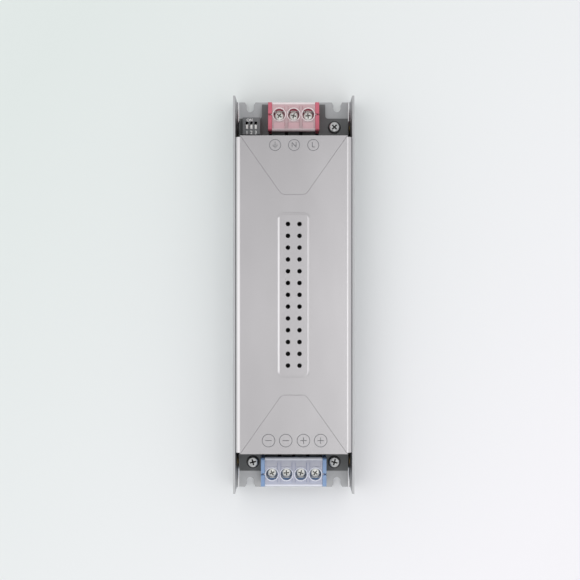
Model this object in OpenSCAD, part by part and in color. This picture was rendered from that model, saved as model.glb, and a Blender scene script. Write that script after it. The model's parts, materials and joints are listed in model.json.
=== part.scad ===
// Slim switching power supply: folded sheet chassis, embossed cover, barrier
// terminals with hinged clear lids, circuit board and the parts on it.
// Z = 0 is the underside of the base, X runs across, Y runs from output to input.

/* [Chassis] */
// Length of the chassis
case_l = 225; // [215:1:240]
// Width over the side walls
case_w = 68.5; // [67:0.5:72]
// Height of the side walls
case_h = 29.2; // [28:0.1:32]
// Chassis sheet thickness
sheet = 1.2; // [1:0.1:1.5]
// Inner radius of the chassis folds
fold_r = 1.2; // [0.8:0.1:2]
// Distance of the mounting slots from the centre line
slot_x = 25.35; // [24:0.05:26]
// Width of a mounting slot
slot_w = 4.4; // [4.2:0.1:4.6]
// Depth of a mounting slot from the chassis end
slot_depth = 5.7; // [5:0.1:7]
// Width of the flared mouth of a slot
slot_mouth = 7.2; // [5:0.1:8]

/* [Cover] */
// Height of the flat top, which stands proud of the side walls
cover_z = 31.4; // [30:0.1:33]
// Length of the flat top
cover_l = 179.6; // [176:0.1:182]
// Cover sheet thickness
cover_t = 1; // [0.8:0.1:1.1]
// Gap between the cover and each side wall
cover_gap = 0.05; // [0.05:0.05:0.3]
// Outer radius of the cover folds
cover_r = 3; // [2.5:0.1:4]
// Depth of the folded skirts below the top
skirt_h = 4.8; // [4.2:0.1:5]
// Width of a screw ear
ear_w = 12; // [10:0.5:12]
// Depth of a screw ear below the top
ear_h = 13; // [12:0.5:13.5]
// Distance of the cover screws from the middle
ear_y = 82; // [80:0.5:82]
// Width of the raised pad
pad_w = 18.3; // [14:0.1:22]
// Length of the raised pad
pad_l = 93.1; // [90:0.1:100]
// Height of the raised pad
pad_rise = 0.6; // [0.3:0.1:0.8]
// Depth of the pressed trapezoids
gore_drop = 0.4; // [0.2:0.1:0.5]
// Length of a trapezoid from the cover end
gore_l = 33.5; // [25:0.5:38]
// Width of a trapezoid at its narrow side
gore_narrow = 17; // [14:0.5:24]
// Diameter of the perforations
vent_d = 2.6; // [2:0.1:3]
// Rows of perforations
vent_rows = 13; // [9:2:13]

/* [Board] */
// Width of the board
board_w = 63.2; // [62:0.1:63.4]
// Length of the board
board_l = 220.8; // [220:0.2:222]
// Height of the board's underside
board_z = 6.4; // [6:0.1:6.6]
// Board thickness
board_t = 1.6; // [1.2:0.1:1.6]

/* [Terminals] */
// Distance between poles
pitch = 8.25; // [8.2:0.05:8.3]
// Poles of the input terminal
in_poles = 3; // [2:1:3]
// Poles of the output terminal
out_poles = 4; // [3:1:4]
// Depth of a terminal from its rear to its front
term_d = 16.8; // [16.4:0.1:17]
// Height of a terminal above the board
term_h = 14; // [13.8:0.1:14.2]
// Thickness of the end walls
term_wall = 2.2; // [2.2:0.1:2.6]
// Thickness of the walls between poles
barrier_t = 1.2; // [1:0.1:1.4]
// Diameter of the screwdriver holes in a lid
access_d = 6.8; // [6.4:0.1:6.8]
// Thread diameter of the wire screws
wire_screw_d = 3; // [2.9:0.1:3]

/* [Switch] */
// Levers of the selector switch
levers = 3; // [2:1:3]
// Travel of a lever
lever_travel = 1.7; // [1.4:0.1:1.7]

/* [Hidden] */
EPS = 0.01;
FINE = 48;
COARSE = 32;
CLEAR = 0.05;
top_z = board_z + board_t;
wall_x = case_w / 2 - sheet;
cover_w = 2 * (wall_x - cover_gap);
ear_hole_z = cover_z - ear_h + 4;
skirt_back = 0.85;
pad_r = 3.4;
gore_r = 3.5;
vent_dx = 6.5;
vent_dy = 6.64;
m3 = 1.5;

// board corners and the board's four fixings
notch_x = 18.4;
notch_y = 102.2;
notch_r = 1.6;
fixings = [[23.6, 97], [23.6, -97], [-23.6, -97], [-23.6, 84]];

// terminals: u is the distance from the rear face, h the height above the board
in_rear = 93.2;
out_rear = 92.8;
screw_u = 9.6;
floor_h = 3.4;
tab_t = 1;
tab_w = 6.3;
clamp_t = 1;
head_r = 3.1;
head_h = 2.4;
shank_l = 5;
lid_t = 1.3;
hinge_u = 1.5;
hinge_h = term_h - 1.5;
pin_r = 0.8;
leg_u = 3.2;
leg_w = 3;
tab_l = 10;
rear_u = 1.2;
end_u = 0.3;

// selector switch
dip_x = -24.35;
dip_y = 97.2;
dip_w = 10.2;
dip_d = 9.9;
dip_h = 5.6;
lever_dx = 2.54;

// devices that stand against the side walls
pad_t = 0.3;
dev_t = 4.5;
dev_w = 10.2;
dev_z = top_z + 1.4;
dev_h = 15.4;
dev_x = wall_x - pad_t;
bar_t = 2.2;
bar_h = 6;
bar_z = dev_z + 2.6;
bar_screw_z = bar_z + bar_h / 2;
primary = [-8, -20];
secondary = [-46, -60];
bridge_y = 14;
bridge_w = 22;
primary_bar = [-32, 26];
secondary_bar = [-72, -34];
primary_screws = [-0.5, -28.5];
secondary_screws = [-38.2, -53, -67.8];

// parts on the board: centres
fuse_at = [17, 86];
ntc_at = [-5, 84];
mov_at = [-5, 75];
xcap_at = [[17, 74], [17, 60]];
choke_at = [-13, 55];
bulk_at = [[-13, 11], [7, 11]];
core_at = [0, -33];
coil_at = [-9, -62.3];
outcap_at = [[-15, -81], [0, -81], [15, -81]];
driver_at = [24, 20];
chip_at = [14, -58];
lead = 0.8;
lead_gap = 0.3;
iso_w = 1.9;

function pole_x(i, n) = (i - (n - 1) / 2) * pitch;
function barrier_x(i, n) = (i - n / 2) * pitch + (i == n ? 1 : i == 0 ? -1 : 0) * term_wall / 2;
function across(at, d) = [[at[0] - d / 2, at[1]], [at[0] + d / 2, at[1]]];
function corners(at, dx, dy) = concat(
  across([at[0], at[1] - dy / 2], dx), across([at[0], at[1] + dy / 2], dx));
function legs(side, y, n, step) = [for (i = [0:n - 1])
  [side * (dev_x - 2.5), y + (i - (n - 1) / 2) * step]];

fuse_legs = across(fuse_at, 22);
ntc_legs = across(ntc_at, 7.5);
mov_legs = across(mov_at, 7.5);
choke_legs = corners(choke_at, 14, 10);
bulk_legs = [for (at = bulk_at) each across([at[0], at[1] - 22], 7.5)];
xcap_legs = [for (at = xcap_at) each across(at, 22.5)];
bridge_legs = legs(-1, bridge_y, 4, 5);
mosfet_legs = [for (y = primary) each legs(-1, y, 3, 2.54)];
diode_legs = [for (y = secondary) each legs(1, y, 3, 2.54)];
core_legs = [for (s = [-1, 1], i = [-2:2]) [core_at[0] + i * 4.5, core_at[1] + s * 16.5]];
coil_legs = [for (s = [-1, 1]) [coil_at[0] + 13.2, coil_at[1] + s * 7]];
outcap_legs = [for (at = outcap_at) each across(at, 5)];
driver_legs = corners(driver_at, 10, 12);
dip_legs = [for (s = [-1, 1], i = [0:levers - 1])
  [dip_x + (i - (levers - 1) / 2) * lever_dx, dip_y + s * 3.81]];
board_legs = concat(fuse_legs, ntc_legs, mov_legs, choke_legs, bulk_legs, xcap_legs,
  bridge_legs, mosfet_legs, diode_legs, core_legs, coil_legs, outcap_legs, driver_legs,
  dip_legs);

// Shared shapes

// Channel outline with its two lower corners rounded
module channel(w, h, r) {
  translate([-w / 2, r]) square([w, h - r]);
  translate([-w / 2 + r, 0]) square([w - 2 * r, r + EPS]);
  intersection() {
    for (s = [-1, 1]) translate([s * (w / 2 - r), r]) circle(r = r, $fn = FINE);
    translate([-w / 2, 0]) square([w, r + EPS]);
  }
}

// Rectangle with all four corners rounded
module rounded(w, l, r) {
  square([w - 2 * r, l], center = true);
  square([w, l - 2 * r], center = true);
  for (sx = [-1, 1], sy = [-1, 1])
    translate([sx * (w / 2 - r), sy * (l / 2 - r)]) circle(r = r, $fn = COARSE);
}

// Round-cornered block standing on z = 0
module block(w, l, h, r) { linear_extrude(h) rounded(w, l, r); }

// Extrudes an outline drawn in Y and Z along X, centred
module along_x(w) {
  rotate([90, 0, 90]) linear_extrude(w, center = true) children();
}

// Square legs that pass through the board
module posts(points, height = 0, size = lead) {
  for (p = points) translate([p[0] - size / 2, p[1] - size / 2, board_z - 1.8])
    cube([size, size, board_t + 1.8 + height]);
}

// Cross recess of a screw head, cut down from z = 0
module cross_recess(r, depth) {
  for (a = [45, 135]) rotate([0, 0, a]) translate([-r, -0.45, -depth])
    cube([2 * r, 0.9, depth + 1]);
}

// Pan head on z = 0 with a shank below it
module pan_screw(r, h, shank_r, shank) {
  rim = 0.6 * h;
  dome = (r * r + (h - rim) * (h - rim)) / (2 * (h - rim));
  difference() {
    intersection() {
      cylinder(r = r, h = h, $fn = FINE);
      translate([0, 0, h - dome]) sphere(r = dome, $fn = 96);
    }
    translate([0, 0, h]) cross_recess(0.6 * r, 0.6 * h);
  }
  translate([0, 0, -shank]) cylinder(r = shank_r, h = shank, $fn = COARSE);
}

// Countersunk screw driven from outside through a side wall, side = -1 or 1
module wall_screw(side, y, z, reach) {
  translate([side * case_w / 2, y, z]) rotate([0, -90 * side, 0]) {
    difference() {
      cylinder(r1 = 2.7, r2 = m3 - CLEAR, h = sheet, $fn = FINE);
      mirror([0, 0, 1]) cross_recess(1.6, 0.8);
    }
    translate([0, 0, sheet - EPS])
      cylinder(r = m3 - CLEAR, h = reach - sheet, $fn = COARSE);
  }
}

module wall_hole(side, y, z) {
  translate([side * case_w / 2, y, z]) rotate([0, -90 * side, 0])
    translate([0, 0, -EPS]) cylinder(r1 = 2.75, r2 = m3, h = sheet + 2 * EPS, $fn = FINE);
}

// Case

module slot_outline() {
  round_y = case_l / 2 - slot_depth + slot_w / 2;
  translate([0, round_y]) circle(d = slot_w, $fn = FINE);
  translate([-slot_w / 2, round_y]) square([slot_w, slot_depth]);
  polygon([[-slot_w / 2, case_l / 2 - 1.6], [slot_w / 2, case_l / 2 - 1.6],
           [slot_mouth / 2, case_l / 2 + 1], [-slot_mouth / 2, case_l / 2 + 1]]);
}

module chassis() {
  color("silver") difference() {
    rotate([90, 0, 0]) linear_extrude(case_l, center = true) difference() {
      channel(case_w, case_h, sheet + fold_r);
      translate([0, sheet]) channel(2 * wall_x, case_h, fold_r);
    }
    for (sy = [0, 1], sx = [-1, 1]) mirror([0, sy]) translate([sx * slot_x, 0, -1])
      linear_extrude(sheet + 2) slot_outline();
    for (sx = [-1, 1], sy = [-1, 1]) wall_hole(sx, sy * ear_y, ear_hole_z);
    for (y = primary_screws) wall_hole(-1, y, bar_screw_z);
    for (y = secondary_screws) wall_hole(1, y, bar_screw_z);
    for (p = fixings) translate([p[0], p[1], -1]) cylinder(r = 2.1, h = sheet + 2, $fn = FINE);
  }
}

// Raised pad with sloping edges: grow shrinks the top edge
module pad_form(z, rise) {
  hull() for (layer = [0, 1]) translate([0, 0, z + layer * rise])
    linear_extrude(EPS) rounded(pad_w - 2 * layer * rise, pad_l - 2 * layer * rise,
                                pad_r - layer * rise);
}

// Pressed trapezoid that widens towards the cover end
module gore_form(z, drop) {
  wide = cover_w / 2 - cover_r;
  hull() for (layer = [0, 1]) translate([0, 0, z - layer * drop]) {
    inset = gore_r + layer * drop;
    for (s = [-1, 1]) {
      translate([s * (gore_narrow / 2 - gore_r), cover_l / 2 - gore_l + inset])
        cylinder(r = gore_r, h = EPS, $fn = COARSE);
      translate([s * (wide - layer * drop) - 0.5, cover_l / 2]) cube([1, 2, EPS]);
    }
  }
}

module ear(side, y) {
  edge = cover_w / 2;
  along = side * (edge - cover_t / 2);
  difference() {
    union() {
      translate([along, y, 0]) rotate([90, 0, 90]) linear_extrude(cover_t, center = true)
        translate([0, cover_z - ear_h]) channel(ear_w, ear_h - skirt_h + 0.5, 2);
      translate([side * (edge - cover_t + EPS), y, ear_hole_z]) rotate([0, -90 * side, 0])
        cylinder(r = 2.4, h = 1.4, $fn = FINE);
    }
    translate([side * (edge + 1), y, ear_hole_z]) rotate([0, -90 * side, 0])
      cylinder(r = m3, h = 6, $fn = COARSE);
  }
}

module cover() {
  color("silver") difference() {
    union() {
      rotate([90, 0, 0]) linear_extrude(cover_l - 2 * skirt_back, center = true)
        translate([0, cover_z]) mirror([0, 1]) difference() {
          channel(cover_w, skirt_h, cover_r);
          translate([0, cover_t]) channel(cover_w - 2 * cover_t, skirt_h, cover_r - cover_t);
        }
      translate([-cover_w / 2 + cover_r, -cover_l / 2, cover_z - cover_t])
        cube([cover_w - 2 * cover_r, cover_l, cover_t]);
      pad_form(cover_z - EPS, pad_rise);
      for (s = [0, 1]) mirror([0, s]) intersection() {
        gore_form(cover_z - cover_t, gore_drop);
        translate([-cover_w / 2, 0, 0]) cube([cover_w, cover_l / 2, cover_z]);
      }
      for (sx = [-1, 1], sy = [-1, 1]) ear(sx, sy * ear_y);
    }
    pad_form(cover_z - cover_t - EPS, pad_rise);
    for (s = [0, 1]) mirror([0, s]) gore_form(cover_z, gore_drop);
    for (i = [0:vent_rows - 1], s = [-1, 1])
      translate([s * vent_dx / 2, (i - (vent_rows - 1) / 2) * vent_dy, cover_z - 3])
        cylinder(d = vent_d, h = 5, $fn = COARSE);
  }
}

module cover_screws() {
  color("lightgray") for (sx = [-1, 1], sy = [-1, 1])
    wall_screw(sx, sy * ear_y, ear_hole_z, 3.6);
}

// Board

module board_outline(inset = 0) {
  w = board_w - 2 * inset;
  l = board_l - 2 * inset;
  nx = notch_x - inset;
  ny = notch_y - inset;
  difference() {
    square([w, l], center = true);
    for (sx = [0, 1], sy = [0, 1]) mirror([sx, 0]) mirror([0, sy]) {
      translate([nx + notch_r, ny]) square([w, l]);
      translate([nx, ny + notch_r]) square([w, l]);
      translate([nx + notch_r, ny + notch_r]) circle(r = notch_r, $fn = FINE);
    }
  }
}

module insulating_sheet() {
  color("dimgray") translate([0, 0, sheet]) linear_extrude(0.4) difference() {
    board_outline(0.6);
    for (p = fixings) translate(p) circle(r = 3.5, $fn = COARSE);
  }
}

module pcb() {
  color([0.2, 0.21, 0.22]) difference() {
    translate([0, 0, board_z]) linear_extrude(board_t) board_outline();
    for (p = fixings) translate([p[0], p[1], board_z - 1]) cylinder(r = 1.7, h = 4, $fn = FINE);
    posts(board_legs, 1, lead + lead_gap);
    terminal_legs(lead_gap);
    at_input() isolation_slots(in_poles);
    at_output() isolation_slots(out_poles);
  }
}

module pcb_standoffs() {
  color("goldenrod") for (p = fixings) translate([p[0], p[1], 0]) difference() {
    union() {
      translate([0, 0, sheet]) cylinder(d = 6.3, h = board_z - sheet, $fn = 6);
      cylinder(r = 2.1 - CLEAR, h = sheet + EPS, $fn = FINE);
    }
    translate([0, 0, -1]) cylinder(r = m3, h = board_z + 2, $fn = COARSE);
  }
}

module pcb_screws() {
  color("lightgray") for (i = [0:3]) translate([fixings[i][0], fixings[i][1], top_z])
    rotate([0, 0, 30 * i]) pan_screw(3, 2.3, m3 - CLEAR, 5.5);
}

// Barrier terminals: drawn with the rear face on y = 0 and the board on z = 0

module at_input() { translate([0, in_rear, top_z]) children(); }
module at_output() { rotate([0, 0, 180]) translate([0, out_rear, top_z]) children(); }

module leg_slots(n, gap) {
  for (i = [0:n - 1]) translate([pole_x(i, n) - (leg_w + gap) / 2, leg_u - (tab_t + gap) / 2,
                                 -board_t - 1.8])
    cube([leg_w + gap, tab_t + gap, board_t + 1.8 + floor_h]);
}

module terminal_legs(gap) {
  at_input() leg_slots(in_poles, gap);
  at_output() leg_slots(out_poles, gap);
}

// Slots milled through the board behind each wall, from under the block to under the cover
module isolation_slots(n) {
  for (i = [0:n]) translate([barrier_x(i, n) - iso_w / 2, -2.2, -board_t - 1])
    cube([iso_w, 3.6, board_t + 2]);
}

// Side view of a wall between poles: full height behind the lid's lip
module barrier_outline() {
  polygon([[rear_u, 1], [term_d, 1], [term_d, 8.6], [15.2, 9.2], [15.2, term_h - 2.6],
           [14.2, term_h - lid_t - 0.3], [4.2, term_h - lid_t - 0.3], [2.6, 10.4],
           [rear_u, 10.4]]);
}

module end_wall_outline() {
  r = 1.5;
  translate([end_u, 0]) square([term_d - end_u, term_h - r]);
  translate([end_u + r, term_h - r - EPS]) square([term_d - end_u - 2 * r, r + EPS]);
  for (u = [end_u + r, term_d - r]) translate([u, term_h - r]) circle(r = r, $fn = FINE);
}

module terminal_body(n) {
  inner = n * pitch;
  difference() {
    union() {
      translate([-inner / 2 - 1, rear_u, 0]) cube([inner + 2, term_d - rear_u, floor_h]);
      translate([-inner / 2 - 1, rear_u, 0]) cube([inner + 2, 1.3, 10.4]);
      for (i = [1:n - 1]) translate([(i - n / 2) * pitch, 0, 0])
        along_x(barrier_t) barrier_outline();
      for (s = [-1, 1]) translate([s * (inner + term_wall) / 2, 0, 0])
        along_x(term_wall) end_wall_outline();
    }
    leg_slots(n, 0.2);
    for (i = [0:n - 1]) translate([pole_x(i, n), screw_u, -1])
      cylinder(r = 2, h = floor_h + 2, $fn = COARSE);
    // cored slots in the rear face, behind each wall
    for (i = [0:n]) translate([barrier_x(i, n) - 0.75, -1, 1.2]) cube([1.5, rear_u + 1.7, 8]);
    // rounded front edge of the floor
    translate([-inner / 2, term_d, floor_h]) rotate([45, 0, 0]) translate([0, -0.8, -0.8])
      cube([inner, 1.6, 1.6]);
    for (s = [-1, 1]) {
      // bearing of the lid's pivot and the notch that its catch drops into
      translate([s * (inner / 2 - 1), hinge_u, hinge_h]) rotate([0, 90 * s, 0])
        cylinder(r = pin_r + CLEAR, h = 2.4, $fn = COARSE);
      translate([s * (inner + term_wall) / 2 - 2, screw_u - 0.5, term_h - 2.6]) cube([4, 1, 4]);
    }
  }
}

module input_terminal_body() { color("crimson") at_input() terminal_body(in_poles); }
module output_terminal_body() { color("cornflowerblue") at_output() terminal_body(out_poles); }

module contacts(n) {
  for (i = [0:n - 1]) translate([pole_x(i, n), 0, 0]) {
    difference() {
      translate([-tab_w / 2, leg_u - tab_t / 2, floor_h]) cube([tab_w, tab_l, tab_t]);
      translate([0, screw_u, 0]) cylinder(d = wire_screw_d + 2 * CLEAR, h = 9, $fn = FINE);
    }
    translate([-leg_w / 2, leg_u - tab_t / 2, -board_t - 1.8])
      cube([leg_w, tab_t, board_t + 1.8 + floor_h + EPS]);
  }
}

module input_terminal_contacts() { color("khaki") at_input() contacts(in_poles); }
module output_terminal_contacts() { color("khaki") at_output() contacts(out_poles); }

// Square clamp washer with its two front corners turned up
module clamp(i, n) {
  half = 3.15;
  translate([pole_x(i, n), screw_u, floor_h + tab_t]) difference() {
    union() {
      block(2 * half, 2 * half, clamp_t, 0.6);
      for (s = [-1, 1]) translate([s * (half - 0.4) - 0.4, -half + 0.6, clamp_t - EPS])
        cube([0.8, 2 * half - 1.2, 0.5]);
    }
    translate([0, 0, -1]) cylinder(d = wire_screw_d + 0.2, h = 4, $fn = FINE);
    translate([0, 0, clamp_t]) cylinder(r = head_r + 0.2, h = 4, $fn = FINE);
  }
}

module wire_screw(i, n) {
  translate([pole_x(i, n), screw_u, floor_h + tab_t + clamp_t]) rotate([0, 0, 20 * i + 10])
    pan_screw(head_r - 0.1, head_h, wire_screw_d / 2, shank_l);
}

// Side view of the lid: barrel at the rear, plate, and a lip rolled down at the front
module lid_outline() {
  r = 2.2;
  translate([hinge_u, hinge_h]) circle(r = term_h - hinge_h, $fn = FINE);
  translate([hinge_u, term_h - lid_t]) square([term_d - r - hinge_u, lid_t]);
  translate([term_d - lid_t, 9.7]) square([lid_t, term_h - r - 9.7]);
  intersection() {
    difference() {
      translate([term_d - r, term_h - r]) circle(r = r, $fn = FINE);
      translate([term_d - r, term_h - r]) circle(r = r - lid_t, $fn = FINE);
    }
    translate([term_d - r - EPS, term_h - r - EPS]) square([r + 1, r + 1]);
  }
}

module lid(n) {
  inner = n * pitch;
  width = inner - 0.3;
  difference() {
    union() {
      along_x(width) lid_outline();
      for (i = [0:n - 1]) translate([pole_x(i, n), screw_u, term_h - 0.5])
        cylinder(d = access_d + 1, h = 0.7, $fn = FINE);
      for (s = [-1, 1]) {
        translate([s * (width / 2 - 0.5), hinge_u, hinge_h]) rotate([0, 90 * s, 0])
          cylinder(r = pin_r, h = 1.7, $fn = COARSE);
        translate([s * (width / 2 + 0.3) - 0.5, screw_u - 0.3, term_h - 2]) cube([1, 0.6, 1.9]);
      }
    }
    for (i = [0:n - 1]) {
      translate([pole_x(i, n), screw_u, 5]) cylinder(d = access_d, h = 12, $fn = FINE);
      // shallow label pocket behind each screw
      translate([pole_x(i, n), 3.4, term_h - 0.3]) block(6.2, 3.6, 2, 0.4);
    }
  }
}

module input_terminal_lid() { color([0.9, 0.7, 0.72, 0.5]) at_input() lid(in_poles); }
module output_terminal_lid() { color([0.7, 0.72, 0.85, 0.5]) at_output() lid(out_poles); }

// Selector switch

module dip_switch_body() {
  color([0.42, 0.43, 0.44]) difference() {
    translate([dip_x, dip_y, top_z]) block(dip_w, dip_d, dip_h, 0.3);
    for (i = [0:levers - 1]) translate([dip_x + (i - (levers - 1) / 2) * lever_dx, dip_y,
                                        top_z]) {
      translate([-1.05, -2.6, 2]) cube([2.1, 5.8, 2.5]);
      translate([-0.75, -1.75, 4]) cube([1.5, 4.3, 3]);
    }
  }
  color("silver") posts(dip_legs);
}

// Levers rest at the end away from the ON side
module dip_lever(i) {
  foot = 3.9;
  nub = 2.4;
  color("white") translate([dip_x + (i - (levers - 1) / 2) * lever_dx, dip_y, top_z]) {
    translate([-0.95, -2.45, 2.1]) cube([1.9, foot, 2.2]);
    translate([-0.65, -1.65, 4.2]) cube([1.3, nub, 1.7]);
  }
}

// Parts on the board

module fuse() {
  z = 4.2;
  color("ivory") translate([fuse_at[0], fuse_at[1], top_z + z]) rotate([0, 90, 0]) {
    cylinder(r = 2.6, h = 18, center = true, $fn = COARSE);
    for (s = [-1, 1]) translate([0, 0, s * 7.4])
      cylinder(r = 3.1, h = 5.4, center = true, $fn = COARSE);
  }
  color("silver") {
    posts(fuse_legs, z + lead / 2);
    for (s = [-1, 1]) translate([fuse_at[0] + s * 10.5, fuse_at[1], top_z + z])
      cube([2, lead, lead], center = true);
  }
}

// Dipped disc standing on edge with two legs
module disc(at, r, t, points) {
  translate([at[0], at[1], top_z + r + 2.4]) rotate([90, 0, 0])
    rotate_extrude($fn = FINE)
      polygon([[0, -t / 2], [r - 0.8, -t / 2], [r, -t / 2 + 1], [r, t / 2 - 1],
               [r - 0.8, t / 2], [0, t / 2]]);
  posts(points, 6);
}

module thermistor() { color([0.15, 0.25, 0.2]) disc(ntc_at, 6.5, 5, ntc_legs); }
module varistor() { color([0.2, 0.35, 0.7]) disc(mov_at, 7, 4.4, mov_legs); }

module x_capacitor(i) {
  color([0.85, 0.75, 0.2]) difference() {
    translate([xcap_at[i][0], xcap_at[i][1], top_z + 0.2]) block(26, 11, 18, 0.6);
    translate([xcap_at[i][0], xcap_at[i][1], top_z - 1]) cube([18, 20, 3.2], center = true);
  }
  color("silver") posts(across(xcap_at[i], 22.5), 1);
}

// Toroid lying flat: ferrite ring and the two windings wrapped around it
module line_choke_core() {
  color("darkslategray") translate([choke_at[0], choke_at[1], top_z + 3]) difference() {
    cylinder(r = 11, h = 9, $fn = 64);
    translate([0, 0, -1]) cylinder(r = 6.4, h = 11, $fn = FINE);
  }
}

module line_choke_windings() {
  color([0.72, 0.4, 0.18]) {
    for (a = [20, 200]) translate([choke_at[0], choke_at[1], top_z + 3]) rotate([0, 0, a])
      rotate_extrude(angle = 140, $fn = 64) difference() {
        translate([5.1, -1.3]) square([7.2, 11.6]);
        translate([6.4, 0]) square([4.6, 9]);
      }
    posts(choke_legs, 2);
  }
}

module bridge_rectifier() {
  t = 3.6;
  color([0.12, 0.12, 0.13]) translate([-dev_x, bridge_y, dev_z]) rotate([90, 0, 90])
    linear_extrude(t) polygon([[-bridge_w / 2, 0], [bridge_w / 2, 0], [bridge_w / 2, dev_h],
                               [-bridge_w / 2 + 3, dev_h], [-bridge_w / 2, dev_h - 3]]);
  color("silver") posts(bridge_legs, 2);
}

// Electrolytic capacitor: base on z = 0, crimped groove, rounded top
module can(r, h) {
  rotate_extrude($fn = 64) difference() {
    square([r, h]);
    translate([r, 2.4]) circle(r = 0.6, $fn = 24);
    translate([r - 0.8, h - 0.8]) difference() {
      square([2, 2]);
      circle(r = 0.8, $fn = 24);
    }
  }
}

module bulk_capacitor(i) {
  at = bulk_at[i];
  color([0.15, 0.16, 0.2]) translate([at[0], at[1] - 20, top_z + 9.3]) rotate([-90, 0, 0])
    can(9, 38);
  color("silver") {
    posts(across([at[0], at[1] - 22], 7.5), 9.3 + lead / 2);
    for (s = [-1, 1]) translate([at[0] + s * 3.75, at[1] - 21, top_z + 9.3])
      cube([lead, 2 + lead, lead], center = true);
  }
}

// Transistor package with a thin upper tab, standing against a side wall
module package(side, y) {
  color([0.13, 0.13, 0.14]) translate([side * dev_x, y, dev_z]) mirror([side > 0 ? 1 : 0, 0])
    rotate([90, 0, 0]) linear_extrude(dev_w, center = true)
      polygon([[0, 0], [dev_t, 0], [dev_t, 9.2], [dev_t - 1.4, 9.2], [dev_t - 1.8, dev_h],
               [0, dev_h]]);
  color("silver") posts(legs(side, y, 3, 2.54), 2);
}

module thermal_pads() {
  color("lightblue") {
    for (y = primary) translate([-wall_x, y - 5.5, dev_z - 0.4]) cube([pad_t, 11, dev_h]);
    for (y = secondary) translate([dev_x, y - 5.5, dev_z - 0.4]) cube([pad_t, 11, dev_h]);
    translate([-wall_x, bridge_y - 11, dev_z - 0.4]) cube([pad_t, 22, dev_h]);
  }
}

module clamp_bar(side, span, screws, length) {
  difference() {
    translate([side > 0 ? dev_x - dev_t - bar_t : -dev_x + dev_t, span[0], bar_z])
      cube([bar_t, length, bar_h]);
    for (y = screws) translate([side * wall_x, y, bar_screw_z]) rotate([0, -90 * side, 0])
      cylinder(r = m3, h = 9, $fn = COARSE);
  }
}

module primary_clamp_bar() {
  color("gray") clamp_bar(-1, primary_bar, primary_screws, primary_bar[1] - primary_bar[0]);
}

module secondary_clamp_bar() {
  color("gray") clamp_bar(1, secondary_bar, secondary_screws,
                          secondary_bar[1] - secondary_bar[0]);
}

module clamp_screws() {
  color("lightgray") {
    for (y = primary_screws) wall_screw(-1, y, bar_screw_z, 8.2);
    for (y = secondary_screws) wall_screw(1, y, bar_screw_z, 8.2);
  }
}

// Transformer: flat core with two windows, bobbin around its middle leg, winding
core_w = 35;
core_l = 30;
core_h = 10;
core_z = top_z + 5;
window_l = 20;
window_w = 7.6;
mid_w = core_w - 2 * (window_w + 5);

module transformer_core() {
  color([0.2, 0.2, 0.22]) translate([core_at[0], core_at[1], core_z]) difference() {
    translate([-core_w / 2, -core_l / 2, 0]) cube([core_w, core_l, core_h]);
    for (s = [-1, 1]) translate([s * (mid_w + window_w) / 2 - window_w / 2, -window_l / 2, -1])
      cube([window_w, window_l, core_h + 2]);
  }
}

module transformer_bobbin() {
  color([0.1, 0.1, 0.1]) {
    translate([core_at[0], core_at[1], core_z + core_h / 2]) difference() {
      union() {
        cube([mid_w + 2.4, window_l - 0.2, core_h + 2.4], center = true);
        for (s = [-1, 1]) {
          translate([0, s * (window_l / 2 - 0.8), 0])
            cube([mid_w + 2 * window_w - 0.4, 1.4, core_h + 8], center = true);
          translate([0, s * (window_l / 2 + 2.9), -core_h / 2 - 2.6])
            cube([mid_w + 2 * window_w - 0.4, 8, 4.8], center = true);
        }
      }
      cube([mid_w + 0.02, window_l + 1, core_h + 0.02], center = true);
    }
  }
  color("silver") posts(core_legs, 1);
}

module transformer_winding() {
  color([0.85, 0.7, 0.2]) translate([core_at[0], core_at[1], core_z + core_h / 2])
    rotate([90, 0, 0]) linear_extrude(window_l - 3.2, center = true) difference() {
      rounded(mid_w + 2 * window_w - 1, core_h + 7, 3);
      square([mid_w + 2.44, core_h + 2.44], center = true);
    }
}

module output_choke_core() {
  color([0.8, 0.75, 0.3]) translate([coil_at[0], coil_at[1], top_z + 2]) difference() {
    cylinder(r = 10.5, h = 10, $fn = 64);
    translate([0, 0, -1]) cylinder(r = 5.8, h = 12, $fn = FINE);
  }
}

module output_choke_winding() {
  color([0.75, 0.42, 0.2]) {
    translate([coil_at[0], coil_at[1], top_z + 2]) rotate([0, 0, 25])
      rotate_extrude(angle = 310, $fn = 64) difference() {
        translate([4.3, -1.5]) square([7.7, 13]);
        translate([5.8, 0]) square([4.7, 10]);
      }
    posts(coil_legs, 3);
    for (p = coil_legs) translate([p[0] - 2.2, p[1], top_z + 3 - lead / 2])
      cube([4.4, lead, lead], center = true);
  }
}

module output_capacitor(i) {
  at = outcap_at[i];
  color([0.12, 0.14, 0.18]) translate([at[0], at[1], top_z]) can(6.25, 19.5);
  color("silver") posts(across(at, 5), 0.5);
}

module driver_transformer() {
  color([0.25, 0.25, 0.27]) translate([driver_at[0], driver_at[1], top_z]) {
    translate([0, 0, 0.4]) block(13, 16, 3.4, 0.5);
    translate([0, 0, 3.7]) block(12, 9, 9, 1.5);
    difference() {
      translate([-6.5, -8, 3.7]) cube([13, 16, 7.3]);
      translate([-7, -5.6, 3.8]) cube([14, 11.2, 8]);
    }
  }
  color("silver") posts(driver_legs, 1);
}

module control_chip() {
  color([0.1, 0.1, 0.1]) translate([chip_at[0], chip_at[1], top_z + 0.2]) block(4, 10, 1.6, 0.2);
  color("silver") for (s = [-1, 1], i = [0:7])
    translate([chip_at[0] + s * 2.5 - 0.6, chip_at[1] + (i - 3.5) * 1.27 - 0.2, top_z])
      cube([1.2, 0.4, 0.7]);
}

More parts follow.
